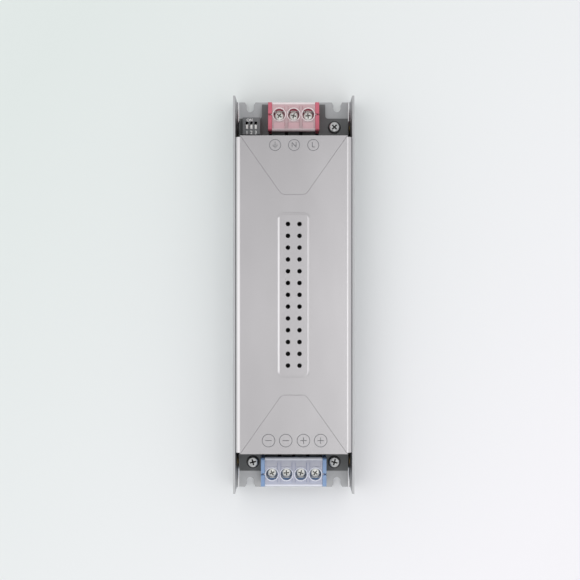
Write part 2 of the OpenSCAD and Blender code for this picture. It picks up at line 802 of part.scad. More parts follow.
chassis();
cover();
cover_screws();
insulating_sheet();
pcb();
pcb_standoffs();
pcb_screws();
input_terminal_body();
output_terminal_body();
input_terminal_contacts();
output_terminal_contacts();
input_terminal_lid();
output_terminal_lid();
for (i = [0:in_poles - 1]) {
  color("silver") at_input() clamp(i, in_poles);
  color("lightgray") at_input() wire_screw(i, in_poles);
}
for (i = [0:out_poles - 1]) {
  color("silver") at_output() clamp(i, out_poles);
  color("lightgray") at_output() wire_screw(i, out_poles);
}
dip_switch_body();
for (i = [0:levers - 1])
  dip_lever(i);
fuse();
thermistor();
varistor();
for (i = [0, 1]) {
  x_capacitor(i);
  bulk_capacitor(i);
  package(-1, primary[i]);
  package(1, secondary[i]);
}
line_choke_core();
line_choke_windings();
bridge_rectifier();
thermal_pads();
primary_clamp_bar();
secondary_clamp_bar();
clamp_screws();
transformer_core();
transformer_bobbin();
transformer_winding();
output_choke_core();
output_choke_winding();
for (i = [0:2])
  output_capacitor(i);
driver_transformer();
control_chip();
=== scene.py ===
import json
import math

import bmesh
import bpy
from mathutils import Matrix, Vector


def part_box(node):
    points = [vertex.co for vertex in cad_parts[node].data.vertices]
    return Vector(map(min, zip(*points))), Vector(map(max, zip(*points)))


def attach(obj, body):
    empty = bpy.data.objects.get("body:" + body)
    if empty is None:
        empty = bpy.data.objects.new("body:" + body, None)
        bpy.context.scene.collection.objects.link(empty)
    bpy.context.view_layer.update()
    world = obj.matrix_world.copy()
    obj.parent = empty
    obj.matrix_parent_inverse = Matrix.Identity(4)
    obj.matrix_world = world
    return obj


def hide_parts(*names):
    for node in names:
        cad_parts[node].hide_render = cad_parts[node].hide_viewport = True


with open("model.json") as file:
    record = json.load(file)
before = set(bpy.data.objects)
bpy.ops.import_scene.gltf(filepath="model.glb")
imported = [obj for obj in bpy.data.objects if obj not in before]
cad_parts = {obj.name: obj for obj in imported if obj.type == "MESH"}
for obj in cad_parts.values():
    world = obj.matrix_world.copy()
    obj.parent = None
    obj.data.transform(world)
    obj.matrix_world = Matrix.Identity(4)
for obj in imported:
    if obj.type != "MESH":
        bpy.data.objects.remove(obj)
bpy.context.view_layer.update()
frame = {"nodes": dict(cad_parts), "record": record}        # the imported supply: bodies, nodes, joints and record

mm = 0.001
nodes = frame["nodes"]
record = frame["record"]
bodyOf = {member: body for body, members in record["behaviour"]["bodies"].items()
          for member in members}


def linear(code):
    # '#rrggbb' in sRGB to a linear colour
    parts = [int(code[i:i + 2], 16) / 255 for i in (1, 3, 5)]
    return [p / 12.92 if p <= 0.04045 else ((p + 0.055) / 1.055) ** 2.4 for p in parts] + [1.0]


def addNode(tree, kind, values=None, links=None):
    # values set sockets or properties by name; links are socket: (node, output)
    node = tree.nodes.new(kind)
    for key, value in (values or {}).items():
        if isinstance(key, int) or key in node.inputs:
            node.inputs[key].default_value = value
        else:
            setattr(node, key, value)
    for key, (source, output) in (links or {}).items():
        tree.links.new(source.outputs[output], node.inputs[key])
    return node


def newMaterial(name, values):
    # a material with its shader set and a coordinate node ready, for the finishes below
    material = bpy.data.materials.new(name)
    material.use_nodes = True
    tree = material.node_tree
    tree.nodes.clear()
    shader = addNode(tree, "ShaderNodeBsdfPrincipled", values)
    addNode(tree, "ShaderNodeOutputMaterial", links={"Surface": (shader, "BSDF")})
    coords = addNode(tree, "ShaderNodeTexCoord")
    return material, tree, shader, coords


def cloud(tree, coords, size, detail, stretch):
    # soft noise whose patches have a real size in metres
    place = addNode(tree, "ShaderNodeMapping", {"Scale": [s / size for s in stretch]},
                    {"Vector": (coords, "Object")})
    return addNode(tree, "ShaderNodeTexNoise", {"Scale": 1.0, "Detail": detail},
                   {"Vector": (place, "Vector")})


def mottled(tree, shader, coords, size, low, high, detail=3.0, stretch=(1, 1, 1)):
    # colour that drifts between two shades; the noise is mostly between 0.3 and 0.7
    noise = cloud(tree, coords, size, detail, stretch)
    ramp = addNode(tree, "ShaderNodeValToRGB", links={"Fac": (noise, "Fac")})
    for stop, position, code in zip(ramp.color_ramp.elements, (0.3, 0.7), (low, high)):
        stop.position = position
        stop.color = linear(code)
    tree.links.new(ramp.outputs["Color"], shader.inputs["Base Color"])


def grain(tree, shader, coords, size, depth, rough, stretch=(1, 1, 1)):
    # fine relief of a real size and depth; the roughness follows it
    noise = cloud(tree, coords, size, 2.0, stretch)
    bump = addNode(tree, "ShaderNodeBump", {"Strength": 1.0, "Distance": depth},
                   {"Height": (noise, "Fac")})
    tree.links.new(bump.outputs["Normal"], shader.inputs["Normal"])
    spread = addNode(tree, "ShaderNodeMapRange", {"To Min": rough[0], "To Max": rough[1]},
                     {"Value": (noise, "Fac")})
    tree.links.new(spread.outputs["Result"], shader.inputs["Roughness"])


def satinAluminium(name, low, high, rough):
    # rolled aluminium sheet, bead blasted and clear anodised: soft grey sheen with no sharp
    # reflection; the blast grain is drawn coarser than it is, so that it shows
    rolled, blasted, blastDepth = 22 * mm, 0.5 * mm, 0.005 * mm
    material, tree, shader, coords = newMaterial(name, {"Metallic": 1.0})
    mottled(tree, shader, coords, rolled, low, high, 4.0, (1, 0.35, 1))
    grain(tree, shader, coords, blasted, blastDepth, rough, (1, 0.5, 1))
    return material


def platedSteel(name, low, high, rough):
    # nickel or zinc plated steel: bright, with faint tumbling marks
    clouded, tumbled, tumbleDepth = 1.5 * mm, 0.35 * mm, 0.004 * mm
    material, tree, shader, coords = newMaterial(name, {"Metallic": 1.0})
    mottled(tree, shader, coords, clouded, low, high)
    grain(tree, shader, coords, tumbled, tumbleDepth, rough)
    return material


def mouldedPlastic(name, low, high, rough, coat=0.0, scatter=0.0, spark=0.35):
    # injection moulded plastic: even colour, a fine spark-eroded texture from the mould, whose
    # size in millimetres is spark
    clouded, sparkDepth = 6 * mm, 0.008 * mm
    values = {"IOR": 1.53, "Coat Weight": coat, "Coat Roughness": 0.2}
    if scatter:
        values.update({"Subsurface Weight": scatter, "Subsurface Scale": 1.2 * mm,
                       "Subsurface Radius": [1.0, 0.4, 0.3]})
    material, tree, shader, coords = newMaterial(name, values)
    mottled(tree, shader, coords, clouded, low, high)
    grain(tree, shader, coords, spark * mm, sparkDepth, rough)
    return material


def clearPolycarbonate(name, low, high, alpha, rough):
    # thin clear moulding, a little hazy: shows what is under it and glints at its edges
    clouded, flow, flowDepth = 5 * mm, 2.5 * mm, 0.002 * mm
    material, tree, shader, coords = newMaterial(name, {"IOR": 1.58, "Alpha": alpha})
    mottled(tree, shader, coords, clouded, low, high)
    grain(tree, shader, coords, flow, flowDepth, rough)
    return material


def solderMask(name, low, high):
    # glass-epoxy board under a dark solder mask: satin, with tracks faintly raised beneath it
    clouded, track, trackDepth = 9 * mm, 3 * mm, 0.02 * mm
    material, tree, shader, coords = newMaterial(name, {"IOR": 1.5, "Coat Weight": 0.2,
                                                        "Coat Roughness": 0.35,
                                                        "Roughness": 0.45})
    mottled(tree, shader, coords, clouded, low, high, 2.0)
    place = addNode(tree, "ShaderNodeMapping", {"Scale": [1 / track] * 3},
                    {"Vector": (coords, "Object")})
    tracks = addNode(tree, "ShaderNodeTexBrick",
                     {"Scale": 1.0, "Mortar Size": 0.06, "Mortar Smooth": 0.4,
                      "Brick Width": 2.6, "Row Height": 0.9}, {"Vector": (place, "Vector")})
    bump = addNode(tree, "ShaderNodeBump", {"Strength": 0.6, "Distance": trackDepth},
                   {"Height": (tracks, "Fac")})
    tree.links.new(bump.outputs["Normal"], shader.inputs["Normal"])
    return material


def flatInk(name, low, high, rough=0.5):
    # laser mark or pad-printed ink: a dull film, not quite even
    clouded = 0.4 * mm
    material, tree, shader, coords = newMaterial(name, {"IOR": 1.45, "Roughness": rough})
    mottled(tree, shader, coords, clouded, low, high)
    return material


# sheet metal, an even satin grey: painted shade darkens the inside floor, a painted highlight
# brightens the bends, and the cover is palest, mirroring the studio softly
chassisMetal = satinAluminium("satinAnodisedAluminium", "#a9aaac", "#b1b2b4", (0.3, 0.42))
paintedShadeFloorMetal = satinAluminium("satinAluminiumPaintedShade", "#a3a4a6", "#abacae", (0.35, 0.5))
paintedHighlightBendMetal = satinAluminium("satinAluminiumPaintedHighlight", "#b3b3b5", "#bbbbbd", (0.16, 0.22))
coverMetal = satinAluminium("blastedAnodisedAluminium", "#b7b5b7", "#bdbbbd", (0.17, 0.26))

# screws and washers: bright nickel heads, board screw heads painted darker as shade deep in the
# case, greyer zinc, and recesses in painted shade: flat grey in wire screws, near black elsewhere
nickelSteel = platedSteel("nickelPlatedSteel", "#cbcbc7", "#dededa", (0.25, 0.42))
paintedShadeNickel = platedSteel("nickelPlatePaintedShade", "#a8a9aa", "#bebfbf", (0.3, 0.5))
zincSteel = platedSteel("zincPlatedSteel", "#b9bbbd", "#ced0d2", (0.35, 0.55))
greyPaintedShadeRecess = platedSteel("screwRecessGreyPaintedShade", "#858580", "#989892", (0.4, 0.6))
blackPaintedShadeRecess = mouldedPlastic("screwRecessBlackPaintedShade", "#0d0d0d", "#191918", (0.5, 0.7))

# other metal: tin with a white shine, brass with a yellow one, pale can tops, and copper
# wire that its enamel turns a glossy brown
tinnedBrass = platedSteel("tinnedBrass", "#c9c4b2", "#dcd8c8", (0.2, 0.4))
tinnedWire = platedSteel("tinnedCopperWire", "#c0c1c0", "#d4d5d3", (0.2, 0.35))
solderTin = platedSteel("solderTin", "#b4b6b8", "#cbcdcf", (0.15, 0.3))
brightBrass = platedSteel("turnedBrass", "#c2a25c", "#d8b970", (0.15, 0.3))
canAluminium = platedSteel("drawnAluminiumCan", "#bfc1c3", "#d0d2d4", (0.25, 0.4))
enamelCopper = platedSteel("enamelledCopper", "#8a4a24", "#a86030", (0.18, 0.32))

# terminal blocks: soft red and soft blue, a mild gloss, edges that let in a little light
redNylon = mouldedPlastic("redNylon", "#b85366", "#c35f71", (0.32, 0.48), 0.15, 0.1)
blueNylon = mouldedPlastic("blueNylon", "#7693bc", "#839ec2", (0.32, 0.48), 0.15, 0.1)

# clear lids, tinted rose and lilac by their blocks: one moulding each, a painted highlight where
# an edge gathers light, glossy in its pocket, deep in colour at the ribs, and painted lighter at
# the pivot against the cover's shadow
roseClear = clearPolycarbonate("roseClearPolycarbonate", "#d3b7bb", "#dabfc3", 0.6, (0.1, 0.25))
roseEdgeHighlight = clearPolycarbonate("rosePaintedHighlightEdge", "#e6dadc", "#eee4e6", 0.85, (0.15, 0.3))
rosePocket = clearPolycarbonate("rosePolishedPocket", "#dcb4bc", "#e2bcc3", 0.75, (0.05, 0.15))
roseRib = clearPolycarbonate("roseMouldedRib", "#a5767f", "#ad7e87", 0.8, (0.15, 0.3))
roseBarrelPaintedLight = clearPolycarbonate("rosePaintedLightBarrel", "#cfbfc2", "#d7c8cb", 0.9, (0.15, 0.3))
lilacClear = clearPolycarbonate("lilacClearPolycarbonate", "#c4c6d6", "#cbcddc", 0.6, (0.1, 0.25))
lilacEdgeHighlight = clearPolycarbonate("lilacPaintedHighlightEdge", "#dfe2ee", "#e8eaf5", 0.85, (0.15, 0.3))
lilacPocket = clearPolycarbonate("lilacPolishedPocket", "#b6b8c6", "#bec0cd", 0.75, (0.05, 0.15))
lilacRib = clearPolycarbonate("lilacMouldedRib", "#7f86a3", "#878eab", 0.8, (0.15, 0.3))
lilacBarrelPaintedLight = clearPolycarbonate("lilacPaintedLightBarrel", "#dadde6", "#e3e6ee", 0.9, (0.15, 0.3))

# board, film and switch: satin greys and blacks, white levers, switch slots painted pale against
# their shade, painted shadow rings round the board screws; the board's cut edge is a dull tan
boardMask = solderMask("darkSolderMask", "#565859", "#626465")
boardEdge = mouldedPlastic("glassEpoxyEdge", "#6c6a58", "#7b7966", (0.5, 0.7))
paintedShadowRing = mouldedPlastic("paintedShadowBoardRing", "#1d1e1f", "#262728", (0.5, 0.65))
blackFilm = mouldedPlastic("blackPolyesterFilm", "#161617", "#1e1e1f", (0.35, 0.5))
greyNylon = mouldedPlastic("greyThermoplastic", "#686a6c", "#737577", (0.4, 0.55))
slotPaintedLightNylon = mouldedPlastic("thermoplasticPaintedLight", "#a9abad", "#b6b8ba", (0.4, 0.55))
whiteLever = mouldedPlastic("whiteAcetal", "#e9e9e6", "#f4f4f1", (0.3, 0.45))

# parts on the board: mostly dull black cases, with a creamy fuse, dipped discs in glossy blue
# and dull dark green, stone-like ferrite, olive paint on the iron core and soft grey pads
blackEpoxy = mouldedPlastic("blackMouldingEpoxy", "#1b1b1c", "#242425", (0.45, 0.6))
blackBobbin = mouldedPlastic("blackPhenolic", "#191919", "#232323", (0.35, 0.5))
blackTape = mouldedPlastic("blackPolyesterTape", "#131313", "#1a1a19", (0.55, 0.7))
blackSleeve = mouldedPlastic("blackShrinkSleeve", "#101114", "#17191d", (0.5, 0.65))
paleStripe = mouldedPlastic("paleSleeveStripe", "#8d9196", "#9da1a6", (0.25, 0.4), 0.3)
filmCase = mouldedPlastic("darkPolypropyleneCase", "#1d1f21", "#26282a", (0.45, 0.6))
ceramicTube = mouldedPlastic("fuseCeramic", "#e4e0d4", "#efece2", (0.3, 0.45), 0.2)
greenDip = mouldedPlastic("darkGreenSilicone", "#16302a", "#1f3d35", (0.45, 0.6))
blueDip = mouldedPlastic("blueEpoxyDip", "#1d4aa3", "#2858b5", (0.25, 0.4), 0.3)
greyFerrite = mouldedPlastic("sinteredFerrite", "#1b1b1d", "#252527", (0.6, 0.75), spark=0.6)
paintedIron = mouldedPlastic("paintedIronPowder", "#2c3523", "#37422c", (0.4, 0.55))
siliconePad = mouldedPlastic("greySiliconePad", "#8fa0ab", "#a0b0ba", (0.6, 0.75))

# signs: a grey laser mark on the cover, scored lines on the capacitors, white switch print
markInk = flatInk("laserMark", "#595a5d", "#6e6f72", 0.55)
darkScore = flatInk("scoredMetal", "#55575a", "#696b6e")
whitePrint = flatInk("whitePadPrint", "#f4f4f2", "#ffffff", 0.6)
print("materials ready")


def setMaterials(data, *materials):
    # clearing a mesh's materials also forgets which face takes which, so an empty list is
    # left alone
    if data.materials:
        data.materials.clear()
    for material in materials:
        data.materials.append(material)


def makePiece(mesh, name, materials, body, smoothAngle=35):
    # a bmesh becomes a finished object that rides on a body
    data = bpy.data.meshes.new(name)
    mesh.to_mesh(data)
    mesh.free()
    for face in data.polygons:
        face.use_smooth = True
    data.set_sharp_from_angle(angle=math.radians(smoothAngle))
    piece = bpy.data.objects.new(name, data)
    bpy.context.scene.collection.objects.link(piece)
    setMaterials(data, *materials)
    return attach(piece, body)


def standFor(piece, *names):
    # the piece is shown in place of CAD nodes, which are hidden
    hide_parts(*names)
    return piece


# how CAD meshes are cleaned and their edges found: corners nearer than merge (mm) are one,
# faces within flat (degrees) are one, and an edge is rounded from corner (degrees) upwards;
# a pressed edge lies within level (mm) of its height and turns by an angle in pressed (radians);
# shading runs smoothly over edges below smooth (degrees)
edgeSettings = {"merge": 0.002, "flat": 0.6, "corner": 32, "pressed": (0.5, 1.1),
                "level": 0.02, "pressedSegments": 6, "smooth": 40}


def mergedCopy(node):
    # a CAD piece as a bmesh, its loose triangles merged and joined where they lie flat
    mesh = bmesh.new()
    mesh.from_mesh(nodes[node].data)
    bmesh.ops.remove_doubles(mesh, verts=mesh.verts, dist=edgeSettings["merge"] * mm)
    bmesh.ops.dissolve_limit(mesh, angle_limit=math.radians(edgeSettings["flat"]),
                             verts=mesh.verts, edges=mesh.edges)
    return mesh


def roundedCopy(node, name, materials, edge, segments=2, zone=None, wide=()):
    # the CAD piece with its edges broken; zone(centre, normal) in millimetres gives the number
    # of the material that a face takes, and wide has heights with the rounding of the pressed
    # edges there, which are rounder than cut ones
    mesh = mergedCopy(node)
    least, most = edgeSettings["pressed"]
    for height, offset in wide:
        mesh.normal_update()
        pressed = [e for e in mesh.edges if e.is_manifold and e.is_convex
                   and least < e.calc_face_angle(0) < most
                   and all(abs(v.co.z - height * mm) < edgeSettings["level"] * mm
                           for v in e.verts)]
        bmesh.ops.bevel(mesh, geom=pressed, offset=offset * mm, affect="EDGES",
                        segments=edgeSettings["pressedSegments"], profile=0.5, material=-1,
                        clamp_overlap=True)
    corners = [e for e in mesh.edges if len(e.link_faces) == 2
               and e.calc_face_angle(0) > math.radians(edgeSettings["corner"])]
    bmesh.ops.bevel(mesh, geom=corners, offset=edge * mm, affect="EDGES", segments=segments,
                    profile=0.5, material=-1, clamp_overlap=True)
    if zone:
        mesh.normal_update()
        for face in mesh.faces:
            face.material_index = zone(face.calc_center_median() / mm, face.normal)
    piece = makePiece(mesh, name, materials, bodyOf[node], edgeSettings["smooth"])
    normals = piece.modifiers.new("faceNormals", "WEIGHTED_NORMAL")   # flat faces stay flat
    normals.keep_sharp = True
    return standFor(piece, node)


def evaluatedMesh(thing):
    # the shape of an object with its modifiers, curve or letters worked out, as a bmesh
    thing.data.update_tag()
    shape = thing.evaluated_get(bpy.context.evaluated_depsgraph_get())
    mesh = bmesh.new()
    mesh.from_mesh(shape.to_mesh())
    shape.to_mesh_clear()
    return mesh


def addMesh(mesh, other, place=None):
    # joins another bmesh to this one, moved by a matrix
    data = bpy.data.meshes.new("joined")
    if place:
        other.transform(place)
    other.to_mesh(data)
    other.free()
    mesh.from_mesh(data)
    bpy.data.meshes.remove(data)


def letters(mesh, text, size, height, at, bold=0.0):
    # adds a short text as thin solid letters, centred at a place in millimetres; bold is what
    # each stroke gains on either side
    curve = bpy.data.curves.new("letters", "FONT")
    curve.body, curve.size, curve.extrude = text, size * mm, height * mm / 2
    curve.align_x, curve.align_y = "CENTER", "CENTER"
    curve.resolution_u = 3
    curve.offset = bold * mm
    holder = bpy.data.objects.new("letters", curve)
    bpy.context.scene.collection.objects.link(holder)
    bpy.context.view_layer.update()
    shape = evaluatedMesh(holder)
    bmesh.ops.translate(shape, verts=shape.verts,
                        vec=Vector((at[0], at[1], at[2] + height / 2)) * mm)
    addMesh(mesh, shape)
    bpy.data.objects.remove(holder)


def flatRing(mesh, outer, inner, height, at):
    # thin flat ring lying on a surface
    loops = []
    for radius in (outer, inner):
        loops += bmesh.ops.create_circle(mesh, segments=40, radius=radius * mm)["verts"]
    bmesh.ops.translate(mesh, verts=loops, vec=Vector(at) * mm)
    edges = list({e for v in loops for e in v.link_edges})
    faces = bmesh.ops.bridge_loops(mesh, edges=edges)["faces"]
    raised = bmesh.ops.extrude_face_region(mesh, geom=faces)["geom"]
    bmesh.ops.translate(mesh, verts=[g for g in raised if isinstance(g, bmesh.types.BMVert)],
                        vec=(0, 0, height * mm))


def flatBar(mesh, size, at, turn=0):
    # thin bar lying on a surface, such as one stroke of a sign
    bar = bmesh.ops.create_cube(mesh, size=mm)["verts"]
    bmesh.ops.scale(mesh, verts=bar, vec=size)
    bmesh.ops.rotate(mesh, verts=bar, matrix=Matrix.Rotation(math.radians(turn), 3, "Z"))
    bmesh.ops.translate(mesh, verts=bar, vec=Vector((at[0], at[1], at[2] + size[2] / 2)) * mm)


# folded chassis: painted shade darkens the inside face of its floor, and a painted highlight
# brightens the bends beside it, which are also glossier
chassisSettings = {"edge": 0.07, "bendTop": 2, "bendNormal": 0.7, "floorNormal": 0.9999}


# the floor's inside face takes the painted shade, the bend fillets the painted highlight
def chassisZone(centre, normal):
    if normal.z < chassisSettings["bendNormal"] or centre.z > chassisSettings["bendTop"]:
        return 0
    return 1 if normal.z > chassisSettings["floorNormal"] else 2


roundedCopy("chassis", "foldedChassis", [chassisMetal, paintedShadeFloorMetal, paintedHighlightBendMetal],
            chassisSettings["edge"], zone=chassisZone)

# pressed cover: its pressed edges at two heights are rounded wider than its cut ones
coverSettings = {"edge": 0.12, "segments": 3, "wide": ((31.4, 0.35), (32.0, 0.75))}
roundedCopy("cover", "pressedCover", [coverMetal], **coverSettings)

# signs laser marked on the sunken ends of the cover: earth, neutral and live; minus and plus
markSettings = {"surface": 31.0, "height": 0.03, "line": 0.34, "letter": 4.2,
                "arm": 3.6, "armWidth": 0.4, "stroke": 0.3, "stem": 1.9,
                "rungs": (3.2, 2.0, 0.9), "rungDrop": 0.1, "rungStep": 0.75}
markRows = ({"signs": ("earth", "N", "L"), "x": (-10.5, 0.2, 11.0), "y": 84.4, "radius": 3.3},
            {"signs": "--++", "x": (-14.2, -4.5, 5.5, 15.2), "y": -82.15, "radius": 3.75})


def addSign(mesh, sign, x, y, radius):
    # one sign inside its ring
    s = markSettings
    at = (x, y, s["surface"])
    flatRing(mesh, radius, radius - s["line"], s["height"], at)
    if sign == "earth":
        flatBar(mesh, (s["stroke"], s["stem"], s["height"]), (x, y + s["stem"] / 2, at[2]))
        for step, width in enumerate(s["rungs"]):
            flatBar(mesh, (width, s["stroke"], s["height"]),
                    (x, y - s["rungDrop"] - s["rungStep"] * step, at[2]))
    elif sign in "NL":
        letters(mesh, sign, s["letter"], s["height"], at)
    else:
        flatBar(mesh, (s["arm"], s["armWidth"], s["height"]), at)
    if sign == "+":        # the upright is a hair higher, so that no two faces lie in one plane
        flatBar(mesh, (s["armWidth"], s["arm"], s["height"] + 0.001), at)


marks = bmesh.new()
for row in markRows:
    for sign, x in zip(row["signs"], row["x"]):
        addSign(marks, sign, x, row["y"], row["radius"])
makePiece(marks, "coverSigns", [markInk], "case")
print("case ready")


def crossCutter(s):
    # tapered cross that cuts a screw recess: a square core with a wing drawn out of each side
    cross = bmesh.new()
    bmesh.ops.create_cube(cross, size=s["wing"] * mm)
    bmesh.ops.scale(cross, verts=cross.verts, vec=(1, 1, 2 * s["depth"] / s["wing"]))
    cross.normal_update()
    sides = [f for f in cross.faces if abs(f.normal.z) < 0.5]
    for wing in bmesh.ops.extrude_discrete_faces(cross, faces=sides)["faces"]:
        wing.normal_update()
        bmesh.ops.translate(cross, verts=wing.verts,
                            vec=wing.normal * (s["span"] - s["wing"]) / 2 * mm)
    low = [v for v in cross.verts if v.co.z < 0]
    bmesh.ops.scale(cross, verts=low, vec=(0.5, 0.5, 1))        # half as wide at the bottom
    bmesh.ops.translate(cross, verts=cross.verts, vec=(0, 0, s["top"] * mm))
    bmesh.ops.recalc_face_normals(cross, faces=cross.faces)
    return cross


def turnedScrew(s, profile):
    # the outline of head and shank is spun round, the recess cut in, and the thread wound on
    mesh = bmesh.new()
    outline = [mesh.verts.new((r * mm, 0, z * mm)) for r, z in profile]
    edges = [mesh.edges.new(pair) for pair in zip(outline, outline[1:])]
    bmesh.ops.spin(mesh, geom=outline + edges, cent=(0, 0, 0), axis=(0, 0, 1),
                   angle=2 * math.pi, steps=40, use_merge=True)
    bmesh.ops.remove_doubles(mesh, verts=mesh.verts, dist=edgeSettings["merge"] * mm)
    bmesh.ops.recalc_face_normals(mesh, faces=mesh.faces)
    blanks = []
    # the cut recess takes the black painted shade, from the cutter and in the head's second slot
    for shape, materials in ((mesh, (nickelSteel, blackPaintedShadeRecess)), (crossCutter(s), (blackPaintedShadeRecess,))):
        data = bpy.data.meshes.new("blank")
        shape.to_mesh(data)
        shape.free()
        blanks.append(bpy.data.objects.new("blank", data))
        setMaterials(data, *materials)
        bpy.context.scene.collection.objects.link(blanks[-1])
    cut = blanks[0].modifiers.new("recess", "BOOLEAN")
    cut.object, cut.operation, cut.solver = blanks[1], "DIFFERENCE", "EXACT"
    cut.material_mode = "TRANSFER"
    bpy.context.view_layer.update()
    screw = evaluatedMesh(blanks[0])
    for blank in blanks:
        bpy.data.objects.remove(blank)
    foot, low = s["root"] - 0.1, -s["shank"] + 0.1         # the tooth is sunk in the shank
    middle, high = low + 0.45 * s["pitch"], low + 0.9 * s["pitch"]
    tooth = [screw.verts.new((r * mm, 0, z * mm))
             for r, z in ((foot, low), (s["crest"], middle), (foot, high))]
    ring = [screw.edges.new((tooth[i - 1], tooth[i])) for i in range(3)]
    turns, steps = s["turns"], 18
    wound = bmesh.ops.spin(screw, geom=tooth + ring, cent=(0, 0, 0), axis=(0, 0, 1),
                           dvec=(0, 0, s["pitch"] * mm / steps), angle=2 * math.pi * turns,
                           steps=steps * turns, use_merge=False)["geom_last"]
    screw.faces.new(tooth)
    screw.faces.new([g for g in wound if isinstance(g, bmesh.types.BMVert)])
    bmesh.ops.recalc_face_normals(screw, faces=screw.faces)
    return screw


def shankProfile(s, top):
    # straight shank with a bevelled tip
    root, bottom = s["root"], -s["shank"]
    return [(root, top), (root, bottom + 0.35), (root - 0.35, bottom), (0, bottom)]


def panProfile(s):
    # pan head: a slightly domed top that rolls over into a straight rim
    r, h = s["radius"], s["height"]
    return [(0, h), (0.6 * r, 0.995 * h), (0.84 * r, 0.98 * h), (0.92 * r, 0.95 * h),
            (0.97 * r, 0.89 * h), (0.993 * r, 0.8 * h), (r, 0.7 * h), (r, 0.08 * h),
            (r - 0.08, 0)] + shankProfile(s, 0)


def flatProfile(s):
    # countersunk head, its face level with z = 0
    r = s["radius"]
    return [(0, -0.02), (r - 0.1, -0.02), (r, -0.1), (1.42, -1.22)] + shankProfile(s, -1.3)


def screwGroup(name, node, s, profile, metals, places):
    # fixed screws that share a node: copies of one, each moved by a matrix
    master = turnedScrew(s, profile)
    screws = bmesh.new()
    for place in places:
        addMesh(screws, master.copy(), place)
    master.free()
    standFor(makePiece(screws, name, metals, "case", 30), node)


# wire screws: pan head, cross recess in painted grey shade, M3 thread; each turns on its own body
wireScrew = {"radius": 3.0, "height": 2.38, "shank": 5.0, "wing": 0.95, "span": 4.0,
             "depth": 1.35, "top": 2.4, "root": 1.24, "crest": 1.49, "pitch": 0.5, "turns": 9,
             "turn": {"input": 55, "output": 235}, "turnStep": 20}
terminalPoles = {"input": 3, "output": 4}
master = turnedScrew(wireScrew, panProfile(wireScrew))
for end, count in terminalPoles.items():
    for i in range(count):
        node = f"{end}_screw_{i + 1}"
        low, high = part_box(node)
        turn = math.radians(wireScrew["turn"][end] + wireScrew["turnStep"] * i)
        seat = ((low[0] + high[0]) / 2, (low[1] + high[1]) / 2, low[2] + wireScrew["shank"] * mm)
        screw = master.copy()
        screw.transform(Matrix.Translation(seat) @ Matrix.Rotation(turn, 4, "Z"))
        standFor(makePiece(screw, f"{end}WireScrew{i + 1}", [nickelSteel, greyPaintedShadeRecess],
                           bodyOf[node], 30), node)
master.free()

# board screws: lower pan head, on the four brass posts; heads painted darker as shade deep in the
# case, recesses painted black as shade
boardScrew = {"radius": 3.0, "height": 2.24, "shank": 5.5, "wing": 1.1, "span": 4.9,
              "depth": 1.3, "top": 2.26, "root": 1.22, "crest": 1.44, "pitch": 0.5, "turns": 9,
              "surface": 8.0, "turn": 45, "turnStep": 30,
              "at": ((23.6, 97), (23.6, -97), (-23.6, -97), (-23.6, 84))}
screwGroup("boardScrews", "pcb_screws", boardScrew, panProfile(boardScrew),
           [paintedShadeNickel, blackPaintedShadeRecess],
           [Matrix.Translation(Vector((x, y, boardScrew["surface"])) * mm)
            @ Matrix.Rotation(math.radians(boardScrew["turnStep"] * i + boardScrew["turn"]), 4, "Z")
            for i, (x, y) in enumerate(boardScrew["at"])])

# countersunk screws driven through the side walls, for the cover and for the clamp bars; their
# recesses are painted black as shade
wallScrew = {"radius": 2.7, "wing": 0.8, "span": 3.2, "depth": 0.8, "top": 0.0, "root": 1.2,
             "crest": 1.44, "pitch": 0.5, "wall": 34.25, "turn": 12, "turnStep": 37}
wallRows = {
    "cover_screws": {"name": "coverScrews", "shank": 3.58, "turns": 4,
                     "at": [(s, t * 82, 22.4) for s in (-1, 1) for t in (-1, 1)]},
    "clamp_screws": {"name": "clampScrews", "shank": 8.18, "turns": 13,
                     "at": [(-1, -0.5, 15), (-1, -28.5, 15), (1, -38.2, 15), (1, -53, 15),
                            (1, -67.8, 15)]},
}
for node, row in wallRows.items():
    s = {**wallScrew, **row}
    screwGroup(s["name"], node, s, flatProfile(s), [nickelSteel, blackPaintedShadeRecess],
               [Matrix.Translation(Vector((side * s["wall"], y, z)) * mm)
                @ Matrix.Rotation(side * math.pi / 2, 4, "Y")
                @ Matrix.Rotation(math.radians(s["turnStep"] * i + s["turn"]), 4, "Z")
                for i, (side, y, z) in enumerate(s["at"])])
print("screws ready")


# barrier terminals: nylon blocks, tinned contacts, square clamp washers
blockSettings = {"edge": 0.14, "segments": 2}
roundedCopy("input_terminal_body", "inputBlock", [redNylon], **blockSettings)
roundedCopy("output_terminal_body", "outputBlock", [blueNylon], **blockSettings)
contactSettings = {"edge": 0.08, "segments": 1}
roundedCopy("input_terminal_contacts", "inputContacts", [tinnedBrass], **contactSettings)
roundedCopy("output_terminal_contacts", "outputContacts", [tinnedBrass], **contactSettings)
washerSettings = {"edge": 0.12, "segments": 2}
for end, count in terminalPoles.items():
    for i in range(count):
        roundedCopy(f"{end}_clamp_{i + 1}", f"{end}ClampWasher{i + 1}", [zincSteel],
                    **washerSettings)

